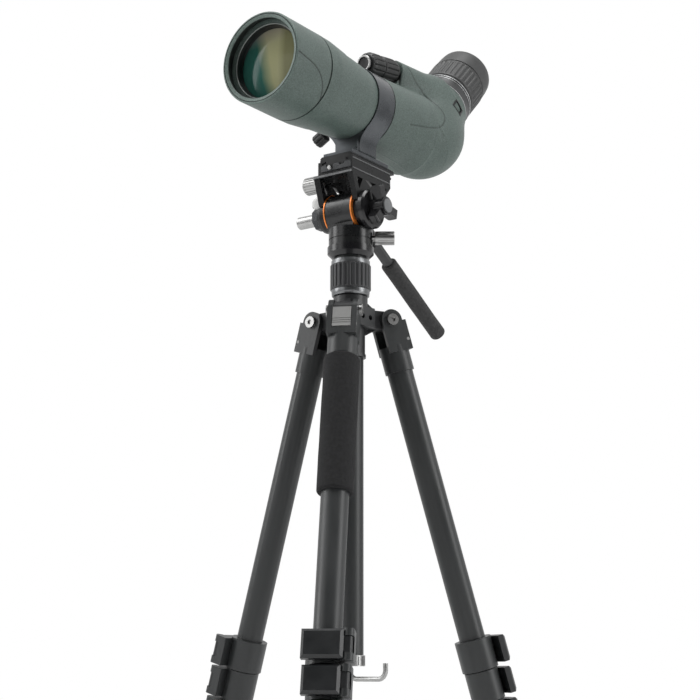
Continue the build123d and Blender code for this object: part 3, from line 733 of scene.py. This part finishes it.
# ---- objective glass --------------------------------------------------------------------------
def coated_glass():
    """Dark glass with painted reflections: teal turning to amber across the pupil, pink near the
    top, and a painted highlight to the right.
    """
    made, surface = shader("objective_painted_reflections", 0.05, 0.0, Coat_Weight=0.08, Coat_Roughness=0.05,
                           Specular_IOR_Level=0.13)
    tree = Tree(made, surface)
    across = tree.along((1, 0, 0), (AXIS_X, 0, AXIS_Z))
    rise = tree.along((0, 0, 1), (AXIS_X, 0, AXIS_Z))
    slant = tree.math("ADD", across, tree.math("MULTIPLY", rise, 0.25))
    wave = tree.math("MULTIPLY", tree.math("SUBTRACT", tree.noise(25.0, 2.0), 0.5), 0.012)
    # Painted reflection: teal on the left turning to amber on the right.
    painted_warm_reflection = tree.span(tree.math("ADD", slant, wave), 0.0, 1.0, -0.013, 0.001)
    colour = tree.mix(painted_warm_reflection, (0.022, 0.095, 0.076), (0.290, 0.290, 0.160))
    # Painted pink reflection near the top.
    painted_pink_reflection = tree.span(rise, 0.0, 0.5, 0.018, 0.034)
    colour = tree.mix(painted_pink_reflection, colour, (0.300, 0.260, 0.260))
    # Painted highlight: a lighter tone over the right side of the lens.
    edge = tree.span(across, 0.0, 0.85, 0.009, 0.017)
    tree.into(tree.mix(edge, colour, (0.150, 0.150, 0.075)), "Base Color")
    tree.into(tree.span(tree.noise(60.0), 0.10, 0.16), "Roughness")
    return made


def glass():
    """The doublet as two lenses: the front face is a shallow dome."""
    crown, edge, twice_curve = 129.5, 35.2, 407.4
    front = [(0.0, crown)]
    front += [(r, crown - r * r / twice_curve) for r in np.linspace(3, edge, 12)]
    back = [(edge, 118.9), (20.0, 120.4), (0.0, 121.2)]
    points, faces = lathe(front + back, SCOPE, 160, closed=False)
    piece("objective_front", "telescope", points, faces, coated_glass(), node="objective_doublet",
          sharp=40)
    rear = [(0.0, 118.8), (34.5, 116.6), (34.5, 114.6), (0.0, 115.4)]
    points, faces = lathe(rear, SCOPE, 96, closed=False)
    piece("objective_rear", "telescope", points, faces, BLACK, slot="lens_glass", sharp=40)


glass()


# ---- focus wheels -----------------------------------------------------------------------------
def lobed(count, depth, low, high, sharpness, knurl):
    """A ripple of grooves between lobes, with a fine knurl of crossed lines on the lobes."""
    def ripple(turns, radius, along):
        inside = np.clip((along - low) / 1.2, 0, 1) * np.clip((high - along) / 1.2, 0, 1)
        phase = np.abs((turns * count / (2 * pi)) % 1 - 0.5)
        groove = np.exp(-((phase / sharpness) ** 2))
        patch = np.clip((phase - 0.2) / 0.1, 0, 1) * np.clip((along - low - 2) / 1, 0, 1)
        patch = patch * np.clip((high - 2 - along) / 1, 0, 1)
        fine = knurl * np.cos(88 * turns + 3.4 * along) * np.cos(88 * turns - 3.4 * along)
        return inside * (-depth * groove) + patch * fine

    return ripple


def focus_wheel(name, body, low, high, front_radius, rear_radius):
    """A knurled wheel that is fullest in its middle."""
    bore, fullest, front_taper = 3.6, 12.6, 0.72
    rows = [(bore, low + 0.4), (rear_radius - 1.6, low), (rear_radius - 0.4, low + 0.4),
            (rear_radius, low + 1.2)]
    count = 40
    for i in range(1, count):
        t = i / count
        radius = rear_radius + (fullest - rear_radius) * min(1, t * 4)
        if t > front_taper:
            past = (t - front_taper) / (1 - front_taper)
            radius = fullest + (front_radius - fullest) * past**1.6
        rows.append((radius, low + 1.2 + (high - low - 2.0) * t))
    rows += [(front_radius - 0.5, high - 0.3), (front_radius - 1.4, high), (bore, high)]
    points, faces = lathe(rows, FOCUS, 616, lobed(14, 1.25, low + 1.6, high - 1.4, 0.13, 0.10))
    piece(name, body, points, faces, RUBBER, node=name.replace("_grip", ""), sharp=55)


focus_wheel("fine_focus_wheel_grip", "fine_wheel", -24.0, -2.6, 10.4, 12.2)
focus_wheel("coarse_focus_wheel_grip", "coarse_wheel", -51.0, -24.4, 12.2, 11.4)
SPINDLE = axial_zones("spindle_zones", FOCUS,
                      ((0.15, DARK, 0.2, 0.3), (100, (0.42, 0.42, 0.415), 0.9, 0.28)))
SPINDLE_PROFILE = (
    (0.0, -62.0), (2.95, -62.0), (2.95, -1.6), (8.4, -1.6), (8.4, 0.2), (7.9, 0.7), (6.4, 0.7),
    (6.0, -0.8), (0.0, -0.8),
)
turned_piece("focus_spindle_finish", "telescope", SPINDLE_PROFILE, FOCUS, SPINDLE, steps=96,
             edge=0.25, node="focus_spindle", sharp=40)


# ---- eyepiece ---------------------------------------------------------------------------------
EYE_STEEL = (0.36, 0.365, 0.37)
EYE_BLACK = (0.010, 0.011, 0.011)
EYE_GREY = (0.030, 0.031, 0.032)
EYE_ZONES = ((65.2, EYE_BLACK, 0.0, 0.4), (66.0, EYE_STEEL, 0.7, 0.3), (67.2, EYE_BLACK, 0.0, 0.4),
             (68.4, EYE_STEEL, 0.7, 0.3), (79.6, EYE_GREY, 0.1, 0.38), (80.6, EYE_STEEL, 0.7, 0.3),
             (83.6, EYE_BLACK, 0.0, 0.3), (85.0, EYE_STEEL, 0.7, 0.3), (200, EYE_BLACK, 0.0, 0.4))
EYE_RINGS = axial_zones("eyepiece_zones", EYEPIECE, EYE_ZONES)
BARREL_PROFILE = (
    (22.0, 47.0), (26.0, 47.0), (26.0, 64.9), (31.6, 64.9), (32.4, 65.4), (32.4, 66.0),
    (31.5, 66.3), (31.5, 67.0), (32.3, 67.3), (32.3, 68.3), (31.9, 68.8), (31.7, 79.4),
    (32.1, 79.7), (32.1, 80.5), (31.2, 80.8), (31.2, 83.4), (31.7, 83.7), (31.7, 84.9),
    (30.8, 85.4), (30.8, 87.7), (27.0, 87.7), (27.0, 138.0), (22.0, 138.0),
)
turned_piece("eyepiece_barrel_finish", "telescope", BARREL_PROFILE, EYEPIECE, EYE_RINGS,
             edge=0.2, node="eyepiece_barrel", sharp=35)
EYE_RUBBER = finish_of("eyepiece_rubber", (0.024, 0.025, 0.025), (0.034, 0.035, 0.035), 0.48,
                       1500, 0.00012)


def zoom_grip():
    rows = [(27.1, 88.1), (30.6, 88.1), (31.2, 88.6), (31.5, 89.6)]
    rows += [(31.6 + 0.3 * i / 30, 90.4 + 29.0 * i / 30) for i in range(31)]
    rows += [(31.6, 120.3), (31.0, 120.9), (27.1, 120.9)]

    def ribbed(turns, radius, along):
        inside = np.clip((along - 91) / 1.5, 0, 1) * np.clip((118.5 - along) / 1.5, 0, 1)
        wave = np.cos(36 * turns)
        return inside * (0.5 * np.tanh(2.2 * wave) - 0.5)

    points, faces = lathe(rows, EYEPIECE, 576, ribbed)
    piece("zoom_ring_grip", "zoom_ring", points, faces, EYE_RUBBER, node="zoom_ring", sharp=55)


zoom_grip()
EYECUP_PROFILE = (
    (27.1, 121.3), (31.2, 121.3), (31.9, 121.9), (31.9, 123.0), (31.4, 123.5), (31.5, 124.3),
    (31.0, 140.0), (30.4, 146.0), (29.4, 147.2), (28.0, 147.5), (25.5, 147.3), (24.4, 146.3),
    (22.7, 143.0), (22.7, 138.5), (27.1, 138.5),
)
turned_piece("eyecup_rubber", "eyecup", EYECUP_PROFILE, EYEPIECE, EYE_RUBBER, node="eyecup",
             sharp=40)


# ---- twist lock of the centre column ----------------------------------------------------------
TWIST = zoned("twist_zones", (0, 0, 1), (0, 0, HINGE_Z),
              ((28.2, GREY, 0.9, 0.33), (53.0, (0.030, 0.031, 0.033), 0.0, 0.5),
               (100, GREY, 0.9, 0.33)))


def twist_ring():
    rows = [(14.8, 22.0), (17.2, 22.0), (18.0, 22.6), (18.4, 26.0), (18.4, 28.0), (19.2, 28.4),
            (19.7, 29.2)]
    rows += [(19.7, 29.2 + 23.0 * i / 24) for i in range(1, 25)]
    rows += [(19.2, 53.0), (18.7, 53.2), (18.7, 57.0), (18.2, 57.8), (14.8, 57.8)]

    def ribbed(turns, radius, along):
        inside = np.clip((along - 29.4) / 0.8, 0, 1) * np.clip((52.2 - along) / 0.8, 0, 1)
        phase = np.abs((turns * 24 / (2 * pi)) % 1 - 0.5)
        return -1.1 * inside * np.exp(-((phase / 0.17) ** 2))

    points, faces = lathe(rows, COLUMN, 480, ribbed)
    piece("twist_lock_grip", "twist_lock", points, faces, TWIST, node="twist_lock_ring", sharp=50)


twist_ring()


# ---- small fittings ---------------------------------------------------------------------------
def collar_knob():
    """The lobed knob, which stands out low on the collar's side."""
    around = Matrix.Rotation(radians(209.5), 4, "Z")
    outward = Matrix.Rotation(pi / 2, 4, "Y")
    place = SCOPE @ Matrix.Translation((0, 0, -8.5 * MM)) @ around @ outward
    rows = [(0.0, 35.7), (2.4, 35.7), (2.4, 42.6), (5.6, 42.6), (6.6, 43.4)]
    rows += [(7.0, 44.0 + 10.6 * i / 12) for i in range(13)]
    rows += [(6.2, 55.6), (5.2, 56.0), (0.0, 55.7)]
    points, faces = lathe(rows, place, 240, lobed(9, 1.3, 44.2, 57.0, 0.2, 0.0))
    piece("collar_knob_grip", "collar_knob", points, faces, RUBBER, node="collar_lock_knob",
          sharp=50)


collar_knob()


def port_patch(along, across, half_along, half_across, radius, depth, lift=None):
    """A curved pad that follows the eyepiece port, or the skin around it where a lift is given."""
    points, faces = [], []
    cols, rows = 9, 3
    for sunk in (0, depth):
        for i in range(cols + 1):
            side = across + half_across * (2 * i / cols - 1)
            for j in range(rows + 1):
                height = along + half_along * (2 * j / rows - 1)
                if lift is None:
                    reach = sqrt(radius**2 - side**2)
                else:
                    reach = skin_reach(side, height) + lift
                points.append(EYEPIECE @ (Vector((reach - sunk, side, height)) * MM))
    width = rows + 1
    shift = (cols + 1) * width
    for i in range(cols):
        for j in range(rows):
            a = i * width + j
            faces.append((a, a + 1, a + width + 1, a + width))
            faces.append((a + shift, a + shift + width, a + shift + width + 1, a + shift + 1))
    border = [(i, 0) for i in range(cols + 1)] + [(cols, j) for j in range(1, rows + 1)]
    border += [(i, rows) for i in range(cols - 1, -1, -1)]
    border += [(0, j) for j in range(rows - 1, 0, -1)]
    ring = [i * width + j for i, j in border]
    faces += [(a, a + shift, b + shift, b) for a, b in zip(ring, ring[1:] + ring[:1])]
    return points, faces


def button():
    """The eyepiece release: a curved pad in a dark frame let into the port; the black frame and
    well floor around the pad are partly painted shade for the shadow in the gap.
    """
    along, across = BUTTON_ALONG, BUTTON_ACROSS
    points, faces = port_patch(along, across, 4.2, 5.0, 33.3, 0.9)
    pad = piece("release_button_pad", "release_button", points, faces, ARMOUR,
                node="release_button", sharp=40)
    bevel_edges(pad, 0.35)
    bars = [port_patch(along + side * 5.7, across, 0.9, 7.4, 34.0, 3.4, 0.35) for side in (1, -1)]
    bars += [port_patch(along, across + side * 6.5, 5.0, 0.9, 34.0, 3.4, 0.35) for side in (1, -1)]
    # The black well floor under the gap around the pad stands for the shadow there: painted shade.
    bars.append(port_patch(along, across, 6.4, 7.2, 31.0, 0.5))
    points, faces = join(*bars)
    surround = piece("button_frame", "telescope", points, faces, BLACK, slot="black_ring", sharp=40)
    bevel_edges(surround, 0.25)


button()


# ---- clamp: plate, rails and painted highlight strips -----------------------------------------
SIDEWAYS = turned_about_x(Vector((0, 0, HINGE_Z)), 90)


def swept_along_y(name, body, outline, rear, front, material, width, **settings):
    """A cross section of (x, height) millimetres swept from y front to y rear, edges rounded."""
    points, faces = prism_points(outline, -rear, -front, SIDEWAYS)
    bevel_edges(piece(name, body, points, faces, material, **settings), width)


PLATE_SIDE = (
    (15.6, 150.5), (15.6, 152.9), (12.2, 152.9), (12.2, 154.6), (19.0, 154.6), (19.0, 156.6),
    (18.4, 156.9), (18.4, 157.3), (19.0, 157.6), (19.0, 158.0), (17.0, 159.9),
)
PLATE_OUTLINE = PLATE_SIDE + tuple((-x, height) for x, height in reversed(PLATE_SIDE))
swept_along_y("dovetail_plate_finish", "cradle", PLATE_OUTLINE, 48, -25, PLATE, 0.3,
              node="dovetail_plate")
RAIL = finish_of("rail_grey", (0.035, 0.037, 0.04), (0.048, 0.05, 0.052), 0.3, 900, 0.00001,
                 metallic=0.3)
# Painted highlight: a light grey for strips that stand for bright edges.
PAINTED_HIGHLIGHT = finish_of("painted_highlight_grey", (0.13, 0.133, 0.136), (0.16, 0.163, 0.166), 0.3, 900, 0.00001,
                 metallic=0.3)
RAIL_OUTLINE = (
    (-15.4, 143.2), (-15.4, 148.6), (-12.0, 149.8), (-9.0, 149.8), (-8.2, 147.6), (-1.2, 147.6),
    (-0.4, 149.8), (6.0, 149.8), (6.8, 147.6), (12.0, 147.6), (12.8, 149.8), (18.6, 149.8),
    (20.0, 148.6), (20.0, 143.2),
)
# A light strip below the front rail, a painted highlight along the front's lower edge.
FRONT_HIGHLIGHT_OUTLINE = ((-25.4, 138.4), (-25.4, 140.6), (20.4, 140.6), (20.4, 138.4))
swept_along_y("clamp_front_rail", "cradle", RAIL_OUTLINE, -26.8, -28.4, RAIL, 0.4,
              slot="head_black")
swept_along_y("clamp_front_painted_highlight", "cradle", FRONT_HIGHLIGHT_OUTLINE, -26.8, -27.9, PAINTED_HIGHLIGHT, 0.4,
              slot="head_black")
# Two light strips along the plate's side, painted highlights of its edges.
for strip_number, (low, high) in enumerate(((142.2, 143.4), (152.4, 153.6))):
    highlight_outline = ((20.3, low), (21.1, low + 0.2), (21.1, high - 0.2), (20.3, high))
    swept_along_y("clamp_side_painted_highlight_%d" % (strip_number + 1), "cradle", highlight_outline, 38, -26, PAINTED_HIGHLIGHT, 0.15,
                  slot="head_black")


def bend(start, middle, end, count):
    """Points along a quadratic curve between two (a, b) places."""
    ends = tuple(zip(start, middle, end))
    return [tuple((1 - t) ** 2 * a + 2 * t * (1 - t) * m + t * t * b for a, m, b in ends)
            for t in np.linspace(0, 1, count)]


def collar_flares():
    """The concave sweeps between the collar's ring, its neck and its foot."""
    reach = 37.75
    angles = np.radians(np.linspace(15.4, 42, 10))
    arc = [(reach * sin(a), AXIS_HEIGHT - reach * cos(a)) for a in angles]
    outline = bend(arc[-1], (14.2, 181.0), (13.7, 172.0), 12)
    outline += bend((13.7, 169.0), (13.7, 164.4), (17.0, 163.7), 6)
    outline += [(10.0, 163.7)] + arc[:-1]
    for side, label in ((1, "right"), (-1, "left")):
        one_side = tuple((side * x, height) for x, height in outline)
        swept_along_y("collar_flare_" + label, "cradle", one_side, 22.0, -4.9, COLLAR, 0.3,
                      slot="collar_metal")


collar_flares()
PIN_PROFILE = ((0.0, 26.0), (2.4, 26.0), (2.4, 29.6), (1.8, 30.2), (0.0, 30.2))
turned_piece("clamp_stop_pin", "cradle", PIN_PROFILE, turned_about_x(spot(-4.5, 0, 146.2), 90),
             SILVER, steps=48, edge=0.2, slot="silver_metal", sharp=35)
RETAINER = zoned("retainer_zones", (0, -1, 0), (0, 0, 0),
                 ((133.9, (0.008, 0.009, 0.009), 0.0, 0.4), (200, (0.22, 0.24, 0.23), 0.2, 0.3)))
RETAINER_PROFILE = (
    (33.6, 127.3), (36.3, 127.3), (36.3, 134.3), (36.1, 134.5), (35.6, 134.5), (35.3, 134.1),
    (34.4, 131.0), (34.2, 128.6),
)
turned_piece("retaining_ring_finish", "telescope", RETAINER_PROFILE, SCOPE, RETAINER,
             edge=0.1, node="lens_retaining_ring", sharp=35)
BOSS_PROFILE = ((0.0, 13.4), (6.2, 13.4), (6.2, 14.8), (5.2, 15.2), (0.0, 15.2))
turned_piece("cheek_boss_disc", "cradle", BOSS_PROFILE, turned_about_x(spot(-30, 0, 118), 90),
             SILVER, steps=96, edge=0.3, slot="silver_metal", sharp=35)


# ---- camera, light and floor ------------------------------------------------------------------
LIGHT_FROM = (-0.52, 0.74, 0.42)      # the side that the surroundings are brightest on
DIM, BRIGHT = 0.035, 0.90
FLOOR_SQUARES, FLOOR_STEP = 12, 0.4
LOOK_AT = Vector((0, 0, 0.5))


def surroundings():
    """White to the camera, and to the object brighter from one side."""
    world = bpy.data.worlds.new("studio")
    world.use_nodes = True
    nodes, links = world.node_tree.nodes, world.node_tree.links
    background = nodes["Background"]
    seen = nodes.new("ShaderNodeLightPath").outputs["Is Camera Ray"]
    place = nodes.new("ShaderNodeTexCoord").outputs["Generated"]
    facing = nodes.new("ShaderNodeVectorMath")
    facing.operation = "DOT_PRODUCT"
    links.new(place, facing.inputs[0])
    facing.inputs[1].default_value = LIGHT_FROM
    rise = nodes.new("ShaderNodeMapRange")
    reach = {"From Min": -0.5, "From Max": 0.8, "To Min": DIM, "To Max": BRIGHT}
    for socket, value in reach.items():
        rise.inputs[socket].default_value = value
    links.new(facing.outputs["Value"], rise.inputs["Value"])
    strength = nodes.new("ShaderNodeMix")
    links.new(seen, strength.inputs[0])
    links.new(rise.outputs[0], strength.inputs[2])
    strength.inputs[3].default_value = 1.0
    background.inputs["Color"].default_value = (1.0, 1.0, 1.0, 1.0)
    links.new(strength.outputs[0], background.inputs["Strength"])
    bpy.context.scene.world = world
    bpy.context.scene.view_settings.view_transform = "Standard"


def pale_floor():
    side, half = FLOOR_SQUARES + 1, FLOOR_SQUARES // 2
    points = [((i - half) * FLOOR_STEP, (j - half) * FLOOR_STEP, -0.0002)
              for i in range(side) for j in range(side)]
    corners = [i * side + j for i in range(FLOOR_SQUARES) for j in range(FLOOR_SQUARES)]
    mesh = bpy.data.meshes.new("floor")
    mesh.from_pydata(points, [], [(c, c + side, c + side + 1, c + 1) for c in corners])
    floor = bpy.data.objects.new("floor", mesh)
    pale = finish_of("pale_floor", (0.80, 0.80, 0.80), (0.83, 0.83, 0.83), 0.8, 40, 0.0)
    floor.data.materials.append(pale)
    bpy.context.scene.collection.objects.link(floor)


def softbox(name, place, size, power):
    """A lamp of a width and height in metres, aimed at the object."""
    data = bpy.data.lights.new(name, "AREA")
    data.shape = "RECTANGLE"
    data.size, data.size_y = size
    data.energy = power
    lamp = bpy.data.objects.new(name, data)
    lamp.location = place
    lamp.rotation_mode = "QUATERNION"
    lamp.rotation_quaternion = (LOOK_AT - Vector(place)).to_track_quat("-Z", "Y")
    bpy.context.scene.collection.objects.link(lamp)


def add_camera():
    """The camera of the photo, from the tripod's perspective."""
    data = bpy.data.cameras.new("camera")
    data.lens = 77.49
    data.sensor_width = 36.0
    data.shift_x = -0.0008
    data.clip_start = 0.05
    camera = bpy.data.objects.new("camera", data)
    turn, lift, roll = radians(35.29), radians(12.02), radians(0.09)
    aim = Matrix.Rotation(turn, 4, "Z") @ Matrix.Rotation(pi / 2 + lift, 4, "X")
    aim = aim @ Matrix.Rotation(roll, 4, "Z")
    camera.matrix_world = Matrix.Translation((0.8147, -1.1509, 0.0939)) @ aim
    bpy.context.scene.collection.objects.link(camera)
    bpy.context.scene.camera = camera


surroundings()
pale_floor()
softbox("left", (-1.3, -0.9, 1.3), (0.7, 1.8), 17.0)
softbox("right", (1.6, 0.5, 0.9), (0.6, 1.8), 15.0)
softbox("top", (0.3, -0.3, 2.3), (1.3, 1.3), 30.0)
softbox("front", (-0.6, -1.9, 0.9), (0.9, 1.2), 4.5)
add_camera()
